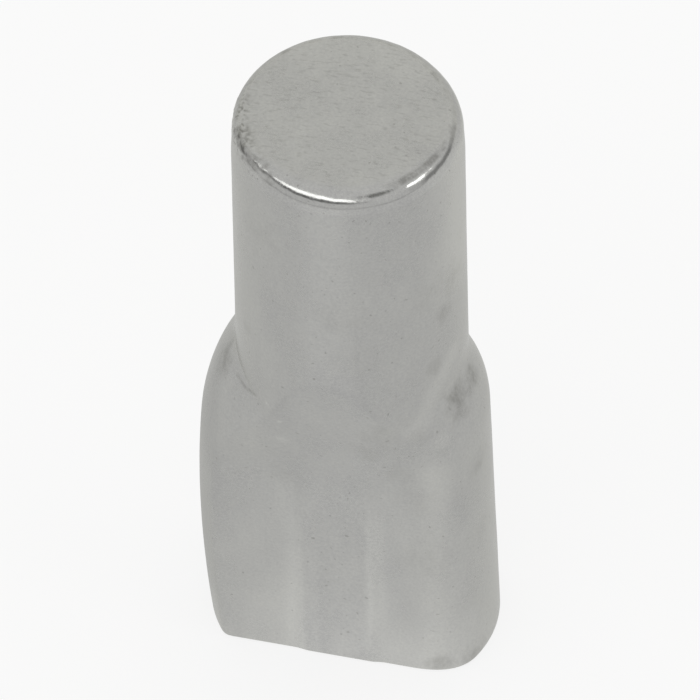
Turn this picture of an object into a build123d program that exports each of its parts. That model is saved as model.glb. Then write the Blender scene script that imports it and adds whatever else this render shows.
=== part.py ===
# Shelf support pin: a steel rod whose lower half is pressed flat into a blade, all in one piece.
# Millimetres. The peg's axis is Z and points up, the blade stands on its sheared end at Z = 0,
# and the blade's two pressed faces look along -Y, the front, and +Y, the back.
import os
from math import sqrt

from build123d import *

# Peg: the round end that goes into the shelf hole
peg_diameter = 5.0
overall_length = 16.2
rim_rounding = 0.52
# The pressing leaves the rod below the peg a little wider towards the blade
neck_flare = 0.05

# Pressed faces: two press tools sink into the rod, and each face runs out to the peg in a ramp
press_depth = 0.87
flat_height = 5.9
ramp_top_height = 10.0
ramp_blend_radius = 7.0
end_edge_rounding = 0.12

# Ears: the squeezed metal stands out past the peg's sides by a spread that changes with the height.
# The left ear swells in one long curve, and the right ear has a short shoulder over a straight run.
left_end_spread = 0.665
left_widest_spread = 0.875
left_widest_height = 4.39
left_bend_spread = 0.812
left_bend_height = 6.1
left_shoulder_rise = 3.5
right_end_spread = 0.61
right_bend_spread = 0.46
right_bend_height = 6.8
right_shoulder_rise = 2.5
# Each shoulder curls in from its bend and ends at its root, inside the peg. Towards the front and
# back faces the root lies lower, by these shares of the shoulder's rise.
root_depth = 0.4
front_fall_share = 0.29
back_fall_share = 0.69
# Depths of the ear's sections in front of and behind the peg's axis, as shares of the peg's radius
ear_depth_shares = (-0.88, -0.5, 0, 0.5, 0.88)

# Strip: the faint raised mark of the front press tool, down the middle of the front face
strip_width = 1.33
strip_slope_width = 0.34
strip_rise = 0.035
strip_top_height = 6.3

# How far the press tools and the shear run past the metal that they cut
tool_overrun = 0.5

peg_radius = peg_diameter / 2
face_depth = peg_radius - press_depth


def ear_outline(depth_share):
    """Plan of both ears, seen from the front, in the section at this share of the peg's radius."""
    depth = depth_share * peg_radius
    side = sqrt(peg_radius**2 - depth**2)
    deepest_share = ear_depth_shares[0] if depth_share < 0 else ear_depth_shares[-1]
    fall_share = front_fall_share if depth_share < 0 else back_fall_share
    rise_share = 1 - fall_share * (depth_share / deepest_share) ** 2

    left_foot = Vector(-side - left_end_spread, -tool_overrun)
    left_end = Vector(-side - left_end_spread, 0)
    left_widest = Vector(-side - left_widest_spread, left_widest_height)
    left_bend = Vector(-side - left_bend_spread, left_bend_height)
    left_root = Vector(root_depth - side, left_bend_height + left_shoulder_rise * rise_share)
    right_root = Vector(side - root_depth, right_bend_height + right_shoulder_rise * rise_share)
    right_bend = Vector(side + right_bend_spread, right_bend_height)
    right_end = Vector(side + right_end_spread, 0)
    right_foot = Vector(side + right_end_spread, -tool_overrun)

    left_side = ThreePointArc(left_end, left_widest, left_bend)
    right_side = Line(right_end, right_bend)
    outline = make_face([
        Line(left_foot, left_end),
        left_side,
        TangentArc(left_bend, left_root, tangent=left_side % 1),
        Line(left_root, right_root),
        TangentArc(right_bend, right_root, tangent=right_side % 1),
        right_side,
        Line(right_end, right_foot),
        Line(right_foot, left_foot),
    ])
    return Plane.XZ.offset(-depth) * outline


def make_rod():
    """Rod from end to end: the peg with its rounded rim, on a neck that flares a little towards the blade."""
    on_base = (Align.CENTER, Align.CENTER, Align.MIN)
    neck = Cone(peg_radius + neck_flare, peg_radius, ramp_top_height, align=on_base)
    peg = Cylinder(peg_radius, overall_length - ramp_top_height, align=on_base)
    rounded_peg = fillet(peg.edges().group_by(Axis.Z)[-1], rim_rounding)
    return neck + Pos(Z=ramp_top_height) * rounded_peg


def make_ears():
    """Both ears in one body, which keeps the peg's roundness from front to back."""
    return loft([ear_outline(share) for share in ear_depth_shares])


def make_front_tool():
    """Press tool: a flat face from the blade's end upwards, then a ramp that comes out at the peg's front."""
    ramp_slope = press_depth / (ramp_top_height - flat_height)
    clear_depth = peg_radius + tool_overrun
    face = FilletPolyline(
        (-face_depth, -tool_overrun),
        (-face_depth, flat_height),
        (-clear_depth, ramp_top_height + tool_overrun / ramp_slope),
        radius=ramp_blend_radius,
    )
    section = make_face([face, Polyline(face @ 1, (-clear_depth, -tool_overrun), face @ 0)])
    return extrude(Plane.YZ * section, peg_diameter, both=True)


def make_strip():
    """Low strip with sloping sides that stands on the front face."""
    crest = strip_width / 2
    base = crest + strip_slope_width
    section = make_face(Polyline(
        (-base, -face_depth),
        (-crest, -face_depth - strip_rise),
        (crest, -face_depth - strip_rise),
        (base, -face_depth),
        (0, 0),
        close=True,
    ))
    return extrude(Plane.XY.offset(end_edge_rounding) * section, strip_top_height - end_edge_rounding)


def make_pin():
    """Rod and ears, pressed from both sides and sheared off square at the blade's end."""
    front_tool = make_front_tool()
    back_tool = mirror(front_tool, Plane.XZ)
    pressed = make_rod() + make_ears() - front_tool - back_tool
    sheared = split(pressed, bisect_by=Plane.XY, keep=Keep.TOP)
    blunted = fillet(sheared.edges().group_by(Axis.Z)[0], end_edge_rounding)
    return blunted + make_strip()


os.makedirs("parts", exist_ok=True)
export_step(make_pin(), "parts/shelf_pin.step")
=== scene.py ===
# Shelf support pin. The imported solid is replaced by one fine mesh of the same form, which adds the soft
# pressed edges, the worn rim and the uneven skin of the real pin, in stained satin nickel.
import math

import bmesh
import bpy
import numpy as np
from mathutils import Matrix, Vector, noise


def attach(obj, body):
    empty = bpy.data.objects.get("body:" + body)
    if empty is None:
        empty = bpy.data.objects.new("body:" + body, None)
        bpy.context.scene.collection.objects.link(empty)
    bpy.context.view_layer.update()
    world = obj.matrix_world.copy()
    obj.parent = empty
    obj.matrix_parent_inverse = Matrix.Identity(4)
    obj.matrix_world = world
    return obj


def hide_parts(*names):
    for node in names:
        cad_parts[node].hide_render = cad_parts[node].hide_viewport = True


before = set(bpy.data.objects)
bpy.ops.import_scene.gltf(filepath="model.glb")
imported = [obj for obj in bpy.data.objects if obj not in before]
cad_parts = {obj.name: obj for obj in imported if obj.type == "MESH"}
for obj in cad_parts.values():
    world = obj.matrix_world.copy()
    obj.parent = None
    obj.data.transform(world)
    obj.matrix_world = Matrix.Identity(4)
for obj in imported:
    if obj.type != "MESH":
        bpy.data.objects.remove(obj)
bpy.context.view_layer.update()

# Sizes of the pin in millimetres, as in the solid. X is across the blade, and the front looks along -Y.
MM = 0.001
PEG_RADIUS = 2.5
LENGTH = 16.2
NECK_FLARE = 0.05
RIM = 0.52
END_EDGE = 0.12
# Pressed faces: depth from the axis, the blend from flat to ramp, and the ramp's ends
FACE_DEPTH = 1.63
BLEND_START, BLEND_RADIUS = 5.17, 7.0
FLAT_HEIGHT, RAMP_TOP = 5.9, 10.0
# Ears: spread past the peg as a curve of the height, up to a bend, and the shoulder's rise above the bend
LEFT_SIDE = np.polyfit([0, 4.39, 6.1], [0.665, 0.875, 0.812], 2)
LEFT_BEND, LEFT_RISE = 6.1, 3.5
RIGHT_SIDE = np.polyfit([0, 6.8], [0.61, 0.46], 1)
RIGHT_BEND, RIGHT_RISE = 6.8, 2.5
ROOT_DEPTH = 0.4
FRONT_FALL, BACK_FALL, EAR_DEPTH = 0.29, 0.69, 2.2
# Raised strip on the front face, which fades out between two heights
STRIP_HALF, STRIP_SLOPE, STRIP_RISE = 0.665, 0.34, 0.035
STRIP_FULL, STRIP_TOP = 5.3, 6.2

# Widths of the soft edges that the solid leaves sharp: where the shoulders run into the peg, and along the
# pressed faces at the left, at the right of the front and of the back, and at the top of the ramps
SHOULDER_BLEND = 0.16
LEFT_EDGE, RIGHT_FRONT_EDGE, RIGHT_BACK_EDGE, RAMP_TOP_EDGE = 0.10, 0.6, 0.3, 0.04
# How far to the right of the axis the right edges reach their width, and the heights between which all the
# edges narrow to that of the ramp's top
RIGHT_EDGE_START = 1.6
NARROW_START, NARROW_END = 7.6, 9.2
# Places round the peg's end, in degrees from +X: front and back of the rim, as the camera sees them, and
# the burr
RIM_FRONT, RIM_BACK, BURR_PLACE = 284, 104, 196
# Rim's rounding away from the front, as a share of the front's, and how that share sways round the peg, with
# the place where it is largest. The front's rounding ends between two angles off the front.
SIDE_RIM_SHARE, RIM_SWAY_SHARE, RIM_SWAY_PLACE = 0.68, 0.21, 40
ROUND_FRONT, ROUND_END = 46, 72
# Crowned end face: its drop, the angles off the front between which it sets in, and the share that it loses
# round the back
CROWN_DROP, CROWN_START, CROWN_END = 0.11, 40, 110
CROWN_LOSS_SHARE, CROWN_LOSS_WIDTH = 0.3, 80
# Draw-in at the sides of the peg's end: its depth, and where it starts and ends below the end face
END_DRAW, DRAW_START, DRAW_END = 0.025, 1.2, 0.5
# Burr: its depth, its width in degrees, and where it starts and is full, out from the axis and below the end
BURR_DEPTH, BURR_WIDTH = 0.018, 28
BURR_INNER, BURR_OUTER = 1.95, 2.25
BURR_LOW, BURR_HIGH = 0.5, 0.3
# Skin: depth below the solid's faces, which keeps it within the solid's box, and its waves and ripples
SKIN_DEPTH, WAVE_DEPTH, RIPPLE_DEPTH = 0.0055, 0.004, 0.0015
# Place on the axis, from each end, towards which the skin of that end sinks
SINK_PLACE = 1.0

# Rows of the mesh, from the middle of the sheared end up the side to the middle of the peg's end
AROUND = 320
END_ROWS, EDGE_ROWS, SIDE_ROWS, RIM_ROWS, TOP_ROWS = 12, 5, 216, 28, 32
# Search for the skin along each direction: nearest and farthest distance from the axis, and halvings
NEAREST, FARTHEST, HALVINGS = 0.3, 4.5, 34
# Points of the mesh nearer than this, in metres, are one point
MERGE_DISTANCE = 1e-8


def soft_max(a, b, width):
    """The larger of two distances, blended over a width, so that the edge between two faces is round."""
    blend = np.maximum(width - np.abs(a - b), 0) / width
    return np.maximum(a, b) + blend**2 * width / 4


def ramp(low, high, value):
    """Smooth step from 0 at low to 1 at high."""
    t = np.clip((value - low) / (high - low), 0, 1)
    return t * t * (3 - 2 * t)


def off_angle(angle, middle):
    """Degrees between each angle and a place round the pin, from -180 to 180."""
    return (np.degrees(angle) - middle + 180) % 360 - 180


def near_place(value, place, width):
    """1 at a place, fading to 0 over a width."""
    return np.exp(-((value - place) / width) ** 2)


def near_angle(angle, middle, width):
    """1 at a place round the pin, in degrees from +X, fading to 0 over a width."""
    return near_place(off_angle(angle, middle), 0, width)


def within(span, value):
    """1 within a span, fading to 0 at its ends."""
    start, full, fade, end = span
    return ramp(start, full, value) * ramp(end, fade, value)


def near_line(points, ends):
    """Distance of each point from a bent line."""
    nearest = np.full(len(points), np.inf)
    for a, b in zip(np.array(ends[:-1]), np.array(ends[1:])):
        share = np.clip((points - a) @ (b - a) / ((b - a) @ (b - a)), 0, 1)
        nearest = np.minimum(nearest, np.linalg.norm(points - a - share[:, None] * (b - a), axis=1))
    return nearest


def cloud(points, size, seed):
    """Soft noise between -1 and 1 at each point, with patches of a size in millimetres."""
    places = points / size + np.array([seed, -seed, 0.0])
    return np.array([noise.noise(Vector(place)) for place in places])


def ear_spread(y, z, side, bend, rise):
    """How far an ear stands out past the peg: its side up to the bend, then a shoulder that curls in."""
    at_bend = np.polyval(side, bend)
    lean = np.polyval(np.polyder(side), bend)
    along, across = 1 / math.hypot(1, lean), lean / math.hypot(1, lean)
    reach = rise * (1 - np.where(y < 0, FRONT_FALL, BACK_FALL) * (y / EAR_DEPTH) ** 2)
    inward = at_bend + ROOT_DEPTH
    radius = (inward**2 + reach**2) / (2 * (along * inward + across * reach))
    height = z - bend - radius * across
    curl = at_bend - radius * along + np.sqrt(np.maximum(radius**2 - height**2, 0))
    return np.where(z < bend, np.polyval(side, z), curl)


def press_depth(z):
    """Depth of the pressed faces from the axis: flat, a gentle blend, then a ramp out to the peg."""
    slope = (PEG_RADIUS - FACE_DEPTH) / (RAMP_TOP - FLAT_HEIGHT)
    rise = np.clip(z - BLEND_START, 0, BLEND_RADIUS * math.sin(math.atan(slope)))
    blend = FACE_DEPTH + BLEND_RADIUS - np.sqrt(BLEND_RADIUS**2 - rise**2)
    return np.maximum(blend, FACE_DEPTH + (z - FLAT_HEIGHT) * slope)


def outside(x, y, z):
    """Distance outside the pin's skin, negative within the metal."""
    spread = np.where(x < 0, ear_spread(y, z, LEFT_SIDE, LEFT_BEND, LEFT_RISE),
                      ear_spread(y, z, RIGHT_SIDE, RIGHT_BEND, RIGHT_RISE))
    spread = soft_max(spread, 0, SHOULDER_BLEND)
    neck = np.hypot(x, y) - PEG_RADIUS - NECK_FLARE * np.clip(1 - z / RAMP_TOP, 0, 1)
    round_side = np.minimum(np.hypot(np.maximum(np.abs(x) - spread, 0), y) - PEG_RADIUS, neck)
    on_strip = ramp(STRIP_HALF + STRIP_SLOPE, STRIP_HALF, np.abs(x)) * ramp(STRIP_TOP, STRIP_FULL, z)
    pressed = np.abs(y) - press_depth(z) - STRIP_RISE * on_strip * (y < 0)
    right_edge = np.where(y < 0, RIGHT_FRONT_EDGE, RIGHT_BACK_EDGE)
    edge = LEFT_EDGE + (right_edge - LEFT_EDGE) * ramp(0, RIGHT_EDGE_START, x)
    edge = RAMP_TOP_EDGE + (edge - RAMP_TOP_EDGE) * ramp(NARROW_END, NARROW_START, z)
    return soft_max(round_side, pressed, edge)


def skin_radius(angle, z, inset):
    """Distance of the skin from the axis in each direction, with the outline moved in by an inset."""
    low, high = np.full(z.shape, NEAREST), np.full(z.shape, FARTHEST)
    for _ in range(HALVINGS):
        middle = (low + high) / 2
        beyond = outside(middle * np.cos(angle), middle * np.sin(angle), z) + inset > 0
        low, high = np.where(beyond, low, middle), np.where(beyond, middle, high)
    return (low + high) / 2


def pin_rows():
    """Height, inset and scale of each row, and the angle of each column, as tables of the mesh's points."""
    angle = np.arange(AROUND) * 2 * math.pi / AROUND
    level = 0 * angle
    # The rim is round at the front and sharper at the sides. The end face is a little crowned: it drops
    # towards the sides and the back.
    ring = np.stack([PEG_RADIUS * np.cos(angle), PEG_RADIUS * np.sin(angle), LENGTH + level], axis=1)
    off_front = np.abs(off_angle(angle, RIM_FRONT))
    sway = np.cos(angle - math.radians(RIM_SWAY_PLACE))
    sharper = RIM * (SIDE_RIM_SHARE + RIM_SWAY_SHARE * sway)
    rim = sharper + (RIM - sharper) * ramp(ROUND_END, ROUND_FRONT, off_front)
    rim = rim * (1 + 0.06 * cloud(ring, 0.7, 2.2) + 0.03 * cloud(ring, 0.25, 4.4))
    loss = CROWN_LOSS_SHARE * near_angle(angle, RIM_BACK, CROWN_LOSS_WIDTH)
    top = LENGTH - CROWN_DROP * ramp(CROWN_START, CROWN_END, off_front) * (1 - loss)
    rows = []
    for k in range(END_ROWS):
        rows.append((level, END_EDGE + level, k / END_ROWS))
    for k in range(EDGE_ROWS):
        turn = math.pi / 2 * k / EDGE_ROWS
        rows.append((END_EDGE * (1 - math.cos(turn)) + level, END_EDGE * (1 - math.sin(turn)) + level, 1))
    for k in range(SIDE_ROWS):
        rows.append((END_EDGE + (top - rim - END_EDGE) * k / SIDE_ROWS, level, 1))
    for k in range(RIM_ROWS):
        turn = math.pi / 2 * k / RIM_ROWS
        rows.append((top - rim * (1 - math.sin(turn)), rim * (1 - math.cos(turn)), 1))
    for k in range(TOP_ROWS + 1):
        out = 1 - k / TOP_ROWS
        rows.append((LENGTH + (top - LENGTH) * out**2, rim, out))
    heights = np.array([height for height, inset, scale in rows])
    insets = np.array([inset for height, inset, scale in rows])
    scales = np.array([[scale] for height, inset, scale in rows])
    return np.broadcast_to(angle, heights.shape), heights, insets, scales


def burr(points):
    """Where the shearing left a rough burr: round the left of the peg's end."""
    angle = np.arctan2(points[:, 1], points[:, 0])
    out = np.hypot(points[:, 0], points[:, 1])
    high = ramp(LENGTH - BURR_LOW, LENGTH - BURR_HIGH, points[:, 2])
    return near_angle(angle, BURR_PLACE, BURR_WIDTH) * ramp(BURR_INNER, BURR_OUTER, out) * high


def skin_points():
    """Points of the pin's skin in millimetres, by row and column, with the skin's own unevenness."""
    angle, z, inset, scale = pin_rows()
    radius = skin_radius(angle, z, inset) * scale
    even = np.stack([radius * np.cos(angle), radius * np.sin(angle), z], axis=-1)
    points = even.reshape(-1, 3)
    across, height = points[:, 0], points[:, 2]
    uneven = WAVE_DEPTH * cloud(points, 1.4, 3.1) + RIPPLE_DEPTH * cloud(points, 0.45, 7.7)
    sink = SKIN_DEPTH * ramp(0, END_EDGE, height) + uneven * ramp(0, 1.0, height)
    sink = sink + BURR_DEPTH * (1 + cloud(points, 0.10, 5.3)) * burr(points)
    # The peg draws in a little at the sides of its end
    at_end = ramp(LENGTH - DRAW_START, LENGTH - DRAW_END, height)
    sink = sink + END_DRAW * at_end * (across / PEG_RADIUS) ** 2
    # The skin sinks towards the axis, and near both ends towards a place on the axis
    towards = np.clip(height, SINK_PLACE, LENGTH - SINK_PLACE)
    away = points - np.stack([0 * height, 0 * height, towards], axis=-1)
    points = points - away / np.linalg.norm(away, axis=1, keepdims=True) * sink[:, None]
    points[:, 2] = np.maximum(points[:, 2], 0)
    return points.reshape(even.shape)


def make_pin():
    """The whole pin as one closed skin: a grid that is rolled up into the skin's points."""
    table = skin_points() * MM
    rows = table.shape[0] - 1
    bm = bmesh.new()
    bmesh.ops.create_grid(bm, x_segments=AROUND, y_segments=rows, size=0.5)
    for vert in bm.verts:
        column, row = round((vert.co.x + 0.5) * AROUND), round((vert.co.y + 0.5) * rows)
        vert.co = table[row, column % AROUND]
    bmesh.ops.remove_doubles(bm, verts=bm.verts, dist=MERGE_DISTANCE)
    bmesh.ops.recalc_face_normals(bm, faces=bm.faces)
    mesh = bpy.data.meshes.new("pin_skin")
    bm.to_mesh(mesh)
    bm.free()
    mesh.shade_smooth()
    pin = bpy.data.objects.new("pin_skin", mesh)
    bpy.context.scene.collection.objects.link(pin)
    return pin


# Stains on the plate, with painted shade in the corners at the shoulders: middle in millimetres, reach,
# and strength
STAINS_AND_SHADE = [
    # right shoulder: stain and painted shade in the corner where the ear meets the peg
    ((2.5, -0.8, 8.1), 0.34, 0.36), ((2.5, -0.7, 8.4), 0.40, 0.62), ((2.7, 0.0, 8.3), 0.34, 0.66),
    # left shoulder: stain and painted shade in the corner where the ear meets the peg
    ((-2.6, -0.8, 8.4), 0.34, 0.52), ((-2.5, -0.6, 8.8), 0.30, 0.50), ((-2.8, -0.8, 8.1), 0.26, 0.40),
    # right of the peg
    ((2.4, -0.6, 12.2), 0.50, 0.25), ((2.3, -1.0, 11.4), 0.30, 0.30), ((2.1, -1.3, 9.9), 0.24, 0.28),
    ((2.1, -1.3, 12.4), 0.50, 0.14),
    # front and left of the peg
    ((0.6, -2.4, 11.0), 0.60, 0.06), ((0.4, -2.5, 12.4), 0.60, 0.10), ((-1.4, -2.1, 14.3), 0.70, 0.10),
    # right of the ramp
    ((1.9, -1.7, 8.1), 0.24, 0.14), ((2.3, -1.6, 7.5), 0.26, 0.08), ((1.0, -2.0, 8.2), 0.45, 0.18),
    ((0.8, -1.9, 7.5), 0.36, 0.22), ((1.3, -1.8, 6.7), 0.40, 0.15), ((1.7, -1.7, 5.7), 0.45, 0.08),
    # left of the ramp and the blade
    ((-1.9, -1.6, 10.5), 0.20, 0.20), ((-1.1, -1.7, 5.8), 0.40, 0.12),
    # right side of the blade, down to its end
    ((2.9, -0.6, 6.1), 0.40, 0.24), ((2.9, -0.6, 3.9), 0.45, 0.10), ((2.7, -1.3, 2.1), 0.45, 0.05),
    ((1.9, -1.6, 3.8), 0.60, 0.10), ((2.2, -1.5, 0.3), 0.28, 0.44), ((2.8, -1.0, 0.2), 0.36, 0.38),
]
# Dirt and painted dark reflection along the rim, to the left and the right of its burnished front and round
# the back: place in degrees from +X, reach, and strength
RIM_DIRT_AND_SHADE = [(216, 20, 1.0), (330, 24, 0.9), (95, 90, 0.45)]
# Fine crease where the left shoulder runs into the ramp, drawn darker as painted shade
CREASE = [(-2.2, -1.3, 8.5), (-2.1, -1.4, 8.5), (-2.0, -1.6, 8.5), (-1.7, -1.8, 8.6)]
# Small painted highlights on the ramp: middle, reach, and strength
PAINTED_GLINTS = [((-1.1, -2.0, 7.4), 0.15, 0.12), ((-1.4, -2.1, 8.7), 0.05, 0.3), ((-1.1, -2.1, 8.2), 0.05, 0.3),
         ((2.4, -1.6, 7.7), 0.30, 0.12)]
# Painted highlight: a bright band where the right shoulder runs into the peg and the ramp
BAND = [(2.4, -0.7, 9.8), (2.2, -1.2, 9.3), (1.9, -1.6, 8.5), (1.8, -1.8, 8.2)]
# Half widths of the crease and the band: where each is full, and where it ends
CREASE_FULL, CREASE_END = 0.02, 0.07
BAND_FULL, BAND_END = 0.05, 0.42
# Painted highlights beside the strip's edges and at its foot, by the distance from the middle of the blade:
# start, full, fade and end
STREAK_SPAN, FOOT_SPAN = (0.70, 0.84, 0.95, 1.30), (0.9, 1.2, 1.9, 2.3)
# Painted highlights along the blade's right and left edges: place across the blade, and width
RIGHT_STREAK, LEFT_STREAK = (2.15, 0.35), (-2.5, 0.5)
# Rim, by how far the skin looks upwards: where its burnish and the painted dark reflection on its back lie,
# and the dirt with painted dark reflection at the left and at the right
RIM_SPAN, BACK_RIM_SHADE_SPAN = (0.05, 0.25, 0.88, 0.98), (0.35, 0.60, 0.80, 0.92)
LEFT_DIRT_AND_SHADE_SPAN, RIGHT_DIRT_AND_SHADE_SPAN = (0.4, 0.6, 0.94, 0.985), (0.80, 0.88, 0.94, 0.985)
# Strengths of painted shade in the crease, of dirt and painted dark reflection on the rim, and on its back
CREASE_SHADE, RIM_DIRT_AND_SHADE_STRENGTH, BACK_RIM_SHADE = 0.5, 0.65, 0.36
# Painted highlight of the streaks, the band, the end face with its back, and the right of the peg and blade
STREAK_SHINE, BAND_SHINE, END_SHINE, END_BACK_SHINE = 0.2, 0.13, 0.03, 0.08
PEG_RIGHT_SHINE, BLADE_RIGHT_SHINE = 0.27, 0.07
# Painted shade of the strip, as a share of its streaks' painted highlight, and of the ramps and the left ear
STRIP_SHADE_SHARE, RAMP_SHADE, LEFT_EAR_SHADE = 0.33, 0.10, 0.16


def skin_stain_and_shade(points, upward, at_top, ragged):
    """How stained and how darkened by painted shade each point of the skin is, from 0 on clean plate to 1."""
    across, depth = points[:, 0], points[:, 1]
    angle = np.arctan2(depth, across)
    specks, grit = cloud(points, 0.12, 9.2), cloud(points, 0.07, 6.1)
    # The hidden back stays clean
    on_front = ramp(0.5, -0.1, depth)
    stain_and_shade = np.zeros(len(points))
    # Stains, with painted shade in the shoulders' corners
    for middle, reach, strength in STAINS_AND_SHADE:
        distance = np.linalg.norm(points - middle, axis=1) / reach + 0.5 * ragged + 0.25 * specks
        stain_and_shade = np.maximum(stain_and_shade, strength * ramp(1.5, 0.0, distance) * on_front)
    # Painted shade along the crease
    stain_and_shade = np.maximum(stain_and_shade, CREASE_SHADE * ramp(CREASE_END, CREASE_FULL, near_line(points, CREASE)))
    stain_and_shade = np.maximum(stain_and_shade, burr(points) * ramp(-0.1, 0.4, grit + 0.4 * ragged))
    # The dirt and painted dark reflection cover the rim at the left, and only its inner edge at the right
    soot_and_shade = sum(strength * near_angle(angle, place, reach) for place, reach, strength in RIM_DIRT_AND_SHADE)
    soot_and_shade = ramp(0.2, 0.8, soot_and_shade + 0.35 * ragged + 0.3 * specks)
    covered = np.where(across < 0, within(LEFT_DIRT_AND_SHADE_SPAN, upward), within(RIGHT_DIRT_AND_SHADE_SPAN, upward))
    stain_and_shade = np.maximum(stain_and_shade, RIM_DIRT_AND_SHADE_STRENGTH * at_top * soot_and_shade * covered)
    # The back of the rim gets a painted dark reflection
    dark_back_rim = near_angle(angle, RIM_BACK, 95) * within(BACK_RIM_SHADE_SPAN, upward)
    return np.maximum(stain_and_shade, BACK_RIM_SHADE * at_top * dark_back_rim)


def skin_painted_light(points):
    """How much brighter each point is painted than plain plate as highlight, and how much darker as shade
    where it is negative.
    """
    across, depth, height = points[:, 0], points[:, 1], points[:, 2]
    angle = np.arctan2(depth, across)
    left = across < 0
    low = ramp(5.8, 2.4, height)
    # Highlights painted on the blade along both sides of the raised strip, most at its foot, and near its
    # edges
    beside = np.where(left, -across, across + 0.13)
    streaks = np.where(left, 0.85 * low, 0.9 * ramp(5.8, 4.0, height) * ramp(-0.8, 3.0, height))
    streaks = streaks * within(STREAK_SPAN, beside)
    foot = np.where(left, 0.8 * ramp(3.2, 0.4, height), 0.55 * ramp(1.8, 0.2, height))
    streaks = streaks + foot * within(FOOT_SPAN, beside)
    streaks = streaks + ramp(8.2, 6.5, height) * near_place(across, *RIGHT_STREAK)
    streaks = streaks + 0.6 * ramp(4.8, 2.8, height) * near_place(across, *LEFT_STREAK)
    # The strip itself and the ramps get painted shade
    streaks = streaks - STRIP_SHADE_SHARE * low * ramp(0.58, 0.42, np.abs(across - 0.06))
    painted_light = STREAK_SHINE * streaks * ramp(-1.0, -1.4, depth)
    pressed = ramp(0.08, 0.0, np.abs(np.abs(depth) - press_depth(height)))
    painted_light = painted_light - RAMP_SHADE * pressed * ramp(5.2, 6.6, height) * ramp(2.2, 1.2, np.abs(across - 0.2))
    # Painted highlight along the band
    painted_light = painted_light + BAND_SHINE * ramp(BAND_END, BAND_FULL, near_line(points, BAND))
    # Painted highlights on the ramp
    for middle, reach, strength in PAINTED_GLINTS:
        painted_light = painted_light + strength * ramp(1.3, 0.5, np.linalg.norm(points - middle, axis=1) / reach)
    # Painted highlights: the end face is brighter towards its back, and the right of the peg and of the blade
    # is brighter too. The left ear gets painted shade.
    end_shine = END_SHINE + END_BACK_SHINE * ramp(0.8, 2.2, depth)
    painted_light = painted_light + end_shine * ramp(LENGTH - 0.5, LENGTH, height)
    peg_right = near_angle(angle, 352, 17) * within((11.2, 12.3, LENGTH - 0.5, LENGTH), height)
    blade_right = ramp(2.3, 2.8, across) * ramp(5.6, 4.2, height)
    left_ear = ramp(-2.4, -2.9, across) * ramp(5.0, 6.2, height)
    return painted_light + PEG_RIGHT_SHINE * peg_right - LEFT_EAR_SHADE * left_ear + BLADE_RIGHT_SHINE * blade_right


def mark_skin(pin):
    """Writes how stained each point of the skin is with its painted shade, how much painted light and shade
    it has, and how burnished it is, for its material.
    """
    mesh = pin.data
    points, normals = np.empty(len(mesh.vertices) * 3), np.empty(len(mesh.vertices) * 3)
    mesh.vertices.foreach_get("co", points)
    mesh.vertices.foreach_get("normal", normals)
    points, upward = points.reshape(-1, 3) / MM, normals.reshape(-1, 3)[:, 2]
    at_top = ramp(LENGTH - 1.0, LENGTH - 0.8, points[:, 2])
    ragged = cloud(points, 0.28, 1.7)
    polished = np.clip(0.7 + 0.3 * ragged, 0, 1)
    marks = {
        "stain_and_shade": skin_stain_and_shade(points, upward, at_top, ragged),
        "painted_light": skin_painted_light(points),
        "rim": polished * at_top * within(RIM_SPAN, upward),
        "end_face": at_top * ramp(0.96, 0.995, upward),
    }
    for name, values in marks.items():
        layer = mesh.attributes.new(name, "FLOAT", "POINT")
        layer.data.foreach_set("value", values.astype(np.float32))


def linear(code):
    """Linear colour of an sRGB hex code."""
    parts = [int(code[k:k + 2], 16) / 255 for k in (1, 3, 5)]
    return [c / 12.92 if c <= 0.04045 else ((c + 0.055) / 1.055) ** 2.4 for c in parts] + [1.0]


def add(tree, kind, links=None, stops=(), **settings):
    """Adds a node, sets it up, and gives each named input its value or its link and a ramp its stops."""
    node = tree.nodes.new(kind)
    for name, value in settings.items():
        setattr(node, name, value)
    for name, source in (links or {}).items():
        if isinstance(source, bpy.types.NodeSocket):
            tree.links.new(source, node.inputs[name])
        else:
            node.inputs[name].default_value = source
    # A new ramp has two stops
    for _ in stops[2:]:
        node.color_ramp.elements.new(1.0)
    for k, (place, colour) in enumerate(stops):
        node.color_ramp.elements[k].position = place
        node.color_ramp.elements[k].color = colour
    return node


def greys(*stops):
    """Stops of a ramp of greys, each from a place and a brightness."""
    return [(place, (grey, grey, grey, 1.0)) for place, grey in stops]


def per_mm(size):
    """Noise scale for patches of a size in millimetres."""
    return 1 / (size * MM)


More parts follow.
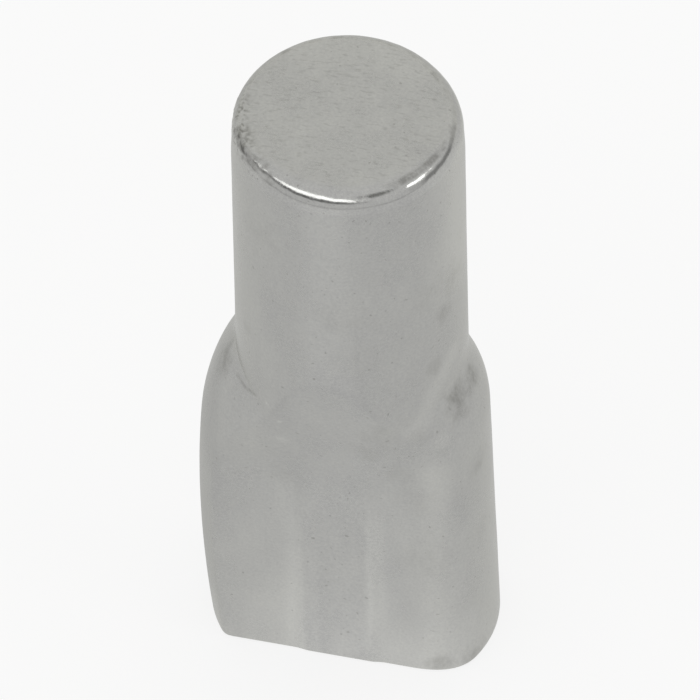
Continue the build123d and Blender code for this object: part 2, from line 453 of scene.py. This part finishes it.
def satin_nickel():
    """Nickel plate over pressed steel, tumbled to a satin skin: pale neutral grey with cloudy handling marks
    that run along the pin, a fine grain, dull brown-grey stains with painted shade in the corners and on the
    rim, painted highlights and shade in its tone, and a rim that wear has burnished. The peg's end keeps the
    short scratches of the shear, and a few small pits show all over."""
    material = bpy.data.materials.new("satin_nickel_plate")
    material.use_nodes = True
    tree = material.node_tree
    tree.nodes.clear()
    place = add(tree, "ShaderNodeTexCoord").outputs["Object"]
    along = add(tree, "ShaderNodeMapping", {"Vector": place, "Scale": (1.0, 1.0, 0.5)}).outputs["Vector"]
    shear = add(tree, "ShaderNodeMapping", {"Vector": place, "Rotation": (0, 0, math.radians(-14)),
                                            "Scale": (0.4, 1.3, 1.0)}).outputs["Vector"]
    # Stains with painted shade, and painted highlights and shade, as marked on the skin
    stain_and_shade = add(tree, "ShaderNodeAttribute", attribute_name="stain_and_shade").outputs["Fac"]
    painted_light = add(tree, "ShaderNodeAttribute", attribute_name="painted_light").outputs["Fac"]
    rim = add(tree, "ShaderNodeAttribute", attribute_name="rim").outputs["Fac"]
    end_face = add(tree, "ShaderNodeAttribute", attribute_name="end_face").outputs["Fac"]
    clouds = add(tree, "ShaderNodeTexNoise", {"Vector": along, "Scale": per_mm(1.0), "Detail": 5.0,
                                              "Roughness": 0.6})
    fine = add(tree, "ShaderNodeTexNoise", {"Vector": along, "Scale": per_mm(0.14), "Detail": 3.0,
                                            "Roughness": 0.65})
    # The grain of tumbled plate is finer than this, and is drawn as coarse as it needs to show
    grain = add(tree, "ShaderNodeTexNoise", {"Vector": place, "Scale": per_mm(0.06), "Detail": 2.0,
                                             "Roughness": 0.7})
    scratch = add(tree, "ShaderNodeTexNoise", {"Vector": shear, "Scale": per_mm(0.075), "Detail": 1.0})
    pits = add(tree, "ShaderNodeTexNoise", {"Vector": place, "Scale": per_mm(0.09), "Detail": 0.0})

    # Plate: clouds and grain, lightened by painted highlights and darkened by painted shade
    tone = add(tree, "ShaderNodeMix", {"Factor": 0.5, "A": clouds.outputs["Fac"], "B": grain.outputs["Fac"]},
               data_type="FLOAT")
    light = add(tree, "ShaderNodeMath", {0: tone.outputs[0], 1: painted_light}, operation="ADD")
    plate = add(tree, "ShaderNodeValToRGB", {"Fac": light.outputs[0]},
                stops=[(0.2, linear("#a6a6a5")), (0.8, linear("#c6c6c2"))])

    # Darker marks: broken stains and painted shade, scratches on the peg's end, and pits
    broken = add(tree, "ShaderNodeMapRange", {"Value": fine.outputs["Fac"], "From Min": 0.38,
                                              "From Max": 0.62, "To Min": 0.45, "To Max": 1.0})
    stained_and_shaded = add(tree, "ShaderNodeMath", {0: stain_and_shade, 1: broken.outputs["Result"]}, operation="MULTIPLY")
    cut = add(tree, "ShaderNodeMapRange", {"Value": scratch.outputs["Fac"], "From Min": 0.55,
                                           "From Max": 0.75, "To Max": 0.24})
    scored = add(tree, "ShaderNodeMath", {0: cut.outputs["Result"], 1: end_face}, operation="MULTIPLY")
    pitted = add(tree, "ShaderNodeMapRange", {"Value": pits.outputs["Fac"], "From Min": 0.78,
                                              "From Max": 0.86, "To Max": 0.4})
    worst = add(tree, "ShaderNodeMath", {0: scored.outputs[0], 1: pitted.outputs["Result"]},
                operation="MAXIMUM")
    dark = add(tree, "ShaderNodeMath", {0: stained_and_shaded.outputs[0], 1: worst.outputs[0]}, operation="MAXIMUM")
    colour = add(tree, "ShaderNodeMixRGB", {"Fac": dark.outputs[0], "Color1": plate.outputs["Color"],
                                            "Color2": linear("#7a7974")})

    # Satin skin with a fine grain, polished at the rim
    rough = add(tree, "ShaderNodeMapRange", {"Value": clouds.outputs["Fac"], "From Min": 0.3, "From Max": 0.7,
                                             "To Min": 0.24, "To Max": 0.34})
    worn = add(tree, "ShaderNodeMapRange", {"Value": rim, "To Min": rough.outputs["Result"], "To Max": 0.08})
    bump = add(tree, "ShaderNodeBump", {"Height": fine.outputs["Fac"], "Strength": 0.3,
                                        "Distance": 0.003 * MM})
    rough_skin = add(tree, "ShaderNodeBump", {"Height": grain.outputs["Fac"], "Strength": 0.4,
                                              "Distance": 0.003 * MM, "Normal": bump.outputs["Normal"]})
    shader = add(tree, "ShaderNodeBsdfPrincipled", {"Base Color": colour.outputs["Color"], "Metallic": 1.0,
                                                    "Specular Tint": linear("#f3f3f0"),
                                                    "Roughness": worn.outputs["Result"],
                                                    "Normal": rough_skin.outputs["Normal"]})
    add(tree, "ShaderNodeOutputMaterial", {"Surface": shader.outputs["BSDF"]})
    return material


# Camera: long lens, 50 degrees above the floor, as the oval of the peg's end shows, and a little to the right
# of the front
CAMERA_TURN, CAMERA_RISE, CAMERA_ROLL = 14.302, 49.861, -1.202
CAMERA_DISTANCE = 667.0 * MM
CAMERA_LENS, CAMERA_SENSOR = 1600.0, 36.0
CAMERA_AIM_ACROSS, CAMERA_AIM_HEIGHT = -0.0504 * MM, 8.4145 * MM
# Floor: half its width in metres, its drop below the pin's foot, and how much of its look is plain white
FLOOR_HALF = 1.5
FLOOR_DROP = 0.01 * MM
FLOOR_WHITE = 0.8


def from_viewer(turn, rise):
    """Direction from the pin to a viewer, by turn from the front and rise above the floor, in degrees."""
    turn, rise = math.radians(turn), math.radians(rise)
    return Vector((math.sin(turn) * math.cos(rise), -math.cos(turn) * math.cos(rise), math.sin(rise)))


def pale_floor():
    """Matt white board that keeps the pin's shadow and is clear from below. Only in the metal's reflections
    it carries a painted pool of light before the pin's foot, a brighter wedge, and a painted shadow behind
    it."""
    material = bpy.data.materials.new("pale_floor")
    material.use_nodes = True
    tree = material.node_tree
    tree.nodes.clear()
    place = add(tree, "ShaderNodeTexCoord").outputs["Object"]
    # Painted pool of light before the foot, painted light wedge and painted shadow behind, for glossy rays
    # only
    foot = add(tree, "ShaderNodeMapping", {"Vector": place, "Scale": (0.5, 1.0, 1.0)}).outputs["Vector"]
    pool = add(tree, "ShaderNodeVectorMath", {0: foot, 1: (0.3 * MM, -1.8 * MM, 0)}, operation="DISTANCE")
    reach = add(tree, "ShaderNodeMath", {0: pool.outputs["Value"], 1: 10 * MM}, operation="DIVIDE")
    before = add(tree, "ShaderNodeValToRGB", {"Fac": reach.outputs[0]},
                 stops=greys((0.0, 1.0), (0.10, 0.93), (0.25, 0.82), (0.90, 0.83)))
    heading = add(tree, "ShaderNodeVectorMath", {0: place}, operation="NORMALIZE")
    beam = add(tree, "ShaderNodeVectorMath", {0: heading.outputs["Vector"],
                                              1: from_viewer(CAMERA_TURN - 22, 0)}, operation="DOT_PRODUCT")
    wedge = add(tree, "ShaderNodeMapRange", {"Value": beam.outputs["Value"], "From Min": 0.90,
                                             "From Max": 0.96, "To Max": 0.06},
                interpolation_type="SMOOTHSTEP")
    behind = add(tree, "ShaderNodeVectorMath", {0: place, 1: from_viewer(CAMERA_TURN + 210, 0) * 4 * MM},
                 operation="DISTANCE")
    shade = add(tree, "ShaderNodeMapRange", {"Value": behind.outputs["Value"], "From Max": 7 * MM,
                                             "To Min": -0.16, "To Max": 0.0}, interpolation_type="SMOOTHSTEP")
    lit = add(tree, "ShaderNodeMath", {0: before.outputs["Color"], 1: wedge.outputs["Result"]},
              operation="ADD")
    mirrored = add(tree, "ShaderNodeMath", {0: lit.outputs[0], 1: shade.outputs["Result"]}, operation="ADD")
    path = add(tree, "ShaderNodeLightPath")
    strength = add(tree, "ShaderNodeMix", {"Factor": path.outputs["Is Glossy Ray"], "A": 1.0,
                                           "B": mirrored.outputs[0]}, data_type="FLOAT")
    camera_share = add(tree, "ShaderNodeMath", {0: path.outputs["Is Camera Ray"], 1: FLOOR_WHITE},
                       operation="MULTIPLY")
    share = add(tree, "ShaderNodeMath", {0: camera_share.outputs[0], 1: path.outputs["Is Glossy Ray"]},
                operation="MAXIMUM")
    paint = add(tree, "ShaderNodeBsdfDiffuse", {"Color": linear("#f6f6f5")})
    white = add(tree, "ShaderNodeEmission", {"Color": linear("#ffffff"), "Strength": strength.outputs[0]})
    both = add(tree, "ShaderNodeMixShader", {0: share.outputs[0], 1: paint.outputs["BSDF"],
                                             2: white.outputs["Emission"]})
    below = add(tree, "ShaderNodeNewGeometry").outputs["Backfacing"]
    clear = add(tree, "ShaderNodeBsdfTransparent")
    one_sided = add(tree, "ShaderNodeMixShader", {0: below, 1: both.outputs["Shader"],
                                                  2: clear.outputs["BSDF"]})
    add(tree, "ShaderNodeOutputMaterial", {"Surface": one_sided.outputs["Shader"]})
    return material


def make_floor():
    """Pale plain floor, just below the pin's foot."""
    bm = bmesh.new()
    bmesh.ops.create_grid(bm, x_segments=1, y_segments=1, size=FLOOR_HALF)
    bmesh.ops.translate(bm, verts=bm.verts, vec=(0, 0, -FLOOR_DROP))
    mesh = bpy.data.meshes.new("floor")
    bm.to_mesh(mesh)
    bm.free()
    mesh.materials.append(pale_floor())
    floor = bpy.data.objects.new("floor", mesh)
    bpy.context.scene.collection.objects.link(floor)


def add_lamp(name, turn, rise, width, height, power):
    """Lamp panel a metre from the pin, at this turn from the camera and this rise above the floor."""
    lamp = bpy.data.lights.new(name, "AREA")
    lamp.shape = "ELLIPSE"
    lamp.size, lamp.size_y = width, height
    lamp.energy = power
    panel = bpy.data.objects.new(name, lamp)
    place = from_viewer(CAMERA_TURN + turn, rise)
    panel.matrix_world = Matrix.Translation(place) @ place.to_track_quat("Z", "Y").to_matrix().to_4x4()
    panel.visible_camera = False
    bpy.context.scene.collection.objects.link(panel)


def make_light():
    """White room round the pin, dimmer in bands low in front, under the strip lamp and at the sides, and in a
    patch between the two lamps. The rim mirrors the lamps."""
    world = bpy.data.worlds.new("studio")
    bpy.context.scene.world = world
    world.use_nodes = True
    tree = world.node_tree
    tree.nodes.clear()
    direction = add(tree, "ShaderNodeTexCoord").outputs["Generated"]
    height = add(tree, "ShaderNodeSeparateXYZ", {0: direction}).outputs["Z"]
    facing = add(tree, "ShaderNodeVectorMath", {0: direction, 1: from_viewer(CAMERA_TURN, 0)},
                 operation="DOT_PRODUCT").outputs["Value"]
    facing_left = add(tree, "ShaderNodeVectorMath", {0: direction, 1: from_viewer(CAMERA_TURN - 40, 0)},
                      operation="DOT_PRODUCT").outputs["Value"]

    # Brightness of the room by height, from the horizon at 0 to straight up at 1
    front = add(tree, "ShaderNodeValToRGB", {"Fac": height},
                stops=greys((0.0, 0.83), (0.06, 0.83), (0.09, 0.6), (0.14, 0.6), (0.18, 0.8), (0.68, 0.83)))
    under_lamp = add(tree, "ShaderNodeValToRGB", {"Fac": height},
                     stops=greys((0.0, 0.83), (0.06, 0.83), (0.09, 0.6), (0.14, 0.6), (0.18, 0.8),
                                 (0.47, 0.8), (0.54, 0.2), (0.64, 0.2), (0.68, 0.83)))
    sides = add(tree, "ShaderNodeValToRGB", {"Fac": height},
                stops=greys((0.0, 0.83), (0.08, 0.83), (0.18, 0.34), (0.36, 0.34), (0.50, 0.83)))

    # Which of them holds in a direction
    to_left = add(tree, "ShaderNodeMapRange", {"Value": facing_left, "From Min": 0.35, "From Max": 0.7},
                  interpolation_type="SMOOTHSTEP")
    in_front = add(tree, "ShaderNodeMapRange", {"Value": facing, "From Min": 0.2, "From Max": 0.6},
                   interpolation_type="SMOOTHSTEP")
    behind = add(tree, "ShaderNodeMapRange", {"Value": facing, "From Min": -0.3, "From Max": -0.8},
                 interpolation_type="SMOOTHSTEP")
    ahead = add(tree, "ShaderNodeMixRGB", {"Fac": to_left.outputs["Result"], "Color1": front.outputs["Color"],
                                           "Color2": under_lamp.outputs["Color"]})
    before = add(tree, "ShaderNodeMath", {0: in_front.outputs["Result"], 1: to_left.outputs["Result"]},
                 operation="MAXIMUM")
    nearer = add(tree, "ShaderNodeMixRGB", {"Fac": before.outputs[0], "Color1": sides.outputs["Color"],
                                            "Color2": ahead.outputs["Color"]})
    room = add(tree, "ShaderNodeMixRGB", {"Fac": behind.outputs["Result"], "Color1": nearer.outputs["Color"],
                                          "Color2": linear("#ebebe8")})
    gap = add(tree, "ShaderNodeVectorMath", {0: direction, 1: from_viewer(CAMERA_TURN + 35, 57)},
              operation="DOT_PRODUCT").outputs["Value"]
    between = add(tree, "ShaderNodeMapRange", {"Value": gap, "From Min": 0.980, "From Max": 0.993},
                  interpolation_type="SMOOTHSTEP")
    dimmed = add(tree, "ShaderNodeMixRGB", {"Fac": between.outputs["Result"], "Color1": room.outputs["Color"],
                                            "Color2": linear("#7c7c7a")})
    seen = add(tree, "ShaderNodeLightPath").outputs["Is Camera Ray"]
    backdrop = add(tree, "ShaderNodeMixRGB", {"Fac": seen, "Color1": dimmed.outputs["Color"],
                                              "Color2": linear("#fbfbfb")})
    shader = add(tree, "ShaderNodeBackground", {"Color": backdrop.outputs["Color"], "Strength": 1.0})
    add(tree, "ShaderNodeOutputWorld", {"Surface": shader.outputs["Background"]})

    add_lamp("strip_lamp", turn=-37, rise=51, width=1.36, height=0.22, power=1.15)
    add_lamp("side_lamp", turn=72, rise=38, width=0.40, height=0.17, power=0.36)


def make_camera():
    """Camera at the photograph's viewing angle."""
    data = bpy.data.cameras.new("camera")
    data.lens = CAMERA_LENS
    data.sensor_width = CAMERA_SENSOR
    data.clip_start, data.clip_end = 0.1, 10.0
    camera = bpy.data.objects.new("camera", data)
    back = from_viewer(CAMERA_TURN, CAMERA_RISE)
    turn = math.radians(CAMERA_TURN)
    aim = Vector((math.cos(turn), math.sin(turn), 0)) * CAMERA_AIM_ACROSS + Vector((0, 0, CAMERA_AIM_HEIGHT))
    facing = back.to_track_quat("Z", "Y").to_matrix().to_4x4()
    roll = Matrix.Rotation(math.radians(CAMERA_ROLL), 4, "Z")
    camera.matrix_world = Matrix.Translation(aim + back * CAMERA_DISTANCE) @ facing @ roll
    bpy.context.scene.collection.objects.link(camera)
    bpy.context.scene.camera = camera


pin = make_pin()
mark_skin(pin)
pin.data.materials.append(satin_nickel())
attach(pin, "root")
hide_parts("shelf_pin")
make_floor()
make_light()
make_camera()
bpy.context.scene.view_settings.view_transform = "Standard"
